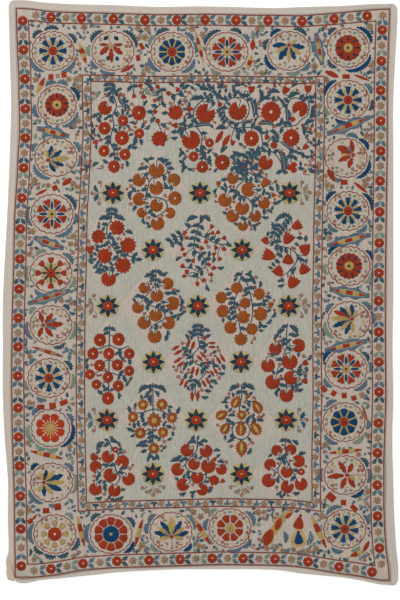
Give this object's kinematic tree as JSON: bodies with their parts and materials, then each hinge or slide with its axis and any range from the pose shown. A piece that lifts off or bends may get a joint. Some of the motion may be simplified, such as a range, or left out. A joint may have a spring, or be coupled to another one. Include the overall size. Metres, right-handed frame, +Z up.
{
  "type": "suzani embroidered textile",
  "caption": "Large rectangular suzani cloth, flat: embroidered floral panel with medallion border and plain cotton edging.",
  "frame": {"origin": "on the surface the cloth lies on, below the middle of its outline box", "axes": "+Z up out of the embroidered face, +Y towards the top edge along the length, +X across to the right edge"},
  "size_m": [1.6598, 2.4564, 0.0024],
  "materials": {
    "silk_embroidery": "silk thread couched on cotton",
    "edging_cotton": "matt plain-weave cotton"
  },
  "bodies": {
    "root": {"embroidered_panel": "silk_embroidery", "edging_top": "edging_cotton", "edging_bottom": "edging_cotton", "edging_left": "edging_cotton", "edging_right": "edging_cotton"}
  },
  "joints": []
}
